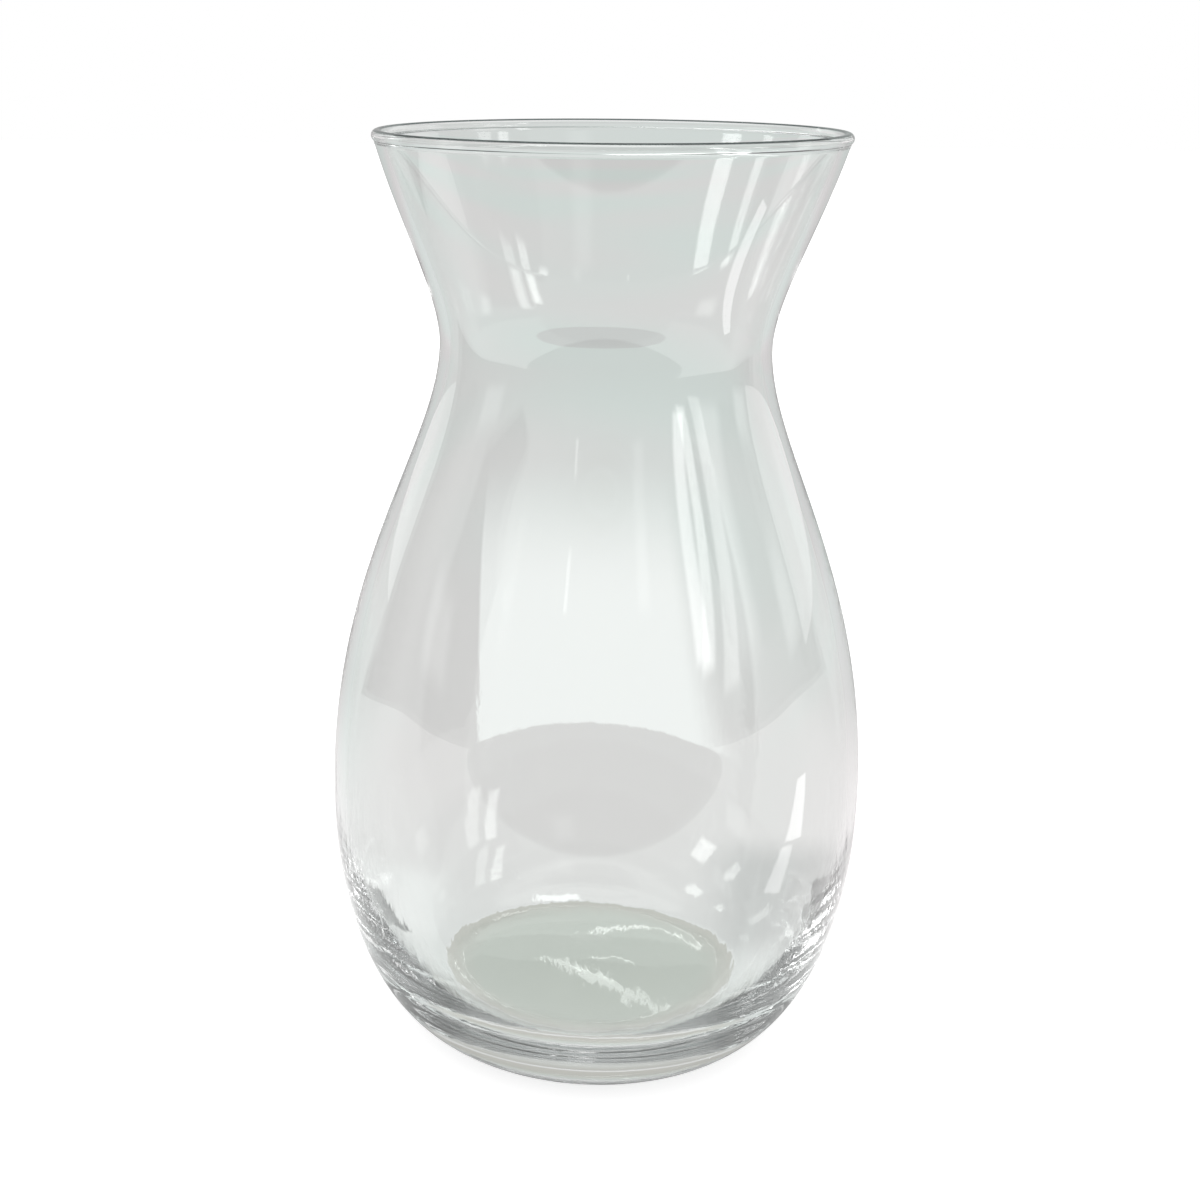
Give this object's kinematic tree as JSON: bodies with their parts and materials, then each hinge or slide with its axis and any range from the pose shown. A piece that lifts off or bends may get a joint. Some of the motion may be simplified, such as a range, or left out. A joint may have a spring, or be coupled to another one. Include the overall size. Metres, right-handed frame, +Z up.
{
  "type": "vase",
  "caption": "Clear glass flower vase with a flared mouth, narrow neck, wide low belly and thick rounded heel.",
  "frame": {"origin": "centre of the ring that the vase stands on, at the table", "axes": "+Z up along the vase's own axis, out of the mouth; +X and +Y are any two square directions, because the vase is round"},
  "size_m": [0.1424, 0.1424, 0.2399],
  "materials": {
    "clear_glass": "clear soda-lime glass, fire-polished, with a faint grey-green tint where it is thick"
  },
  "bodies": {
    "root": {"vase_body": "clear_glass"}
  },
  "joints": []
}
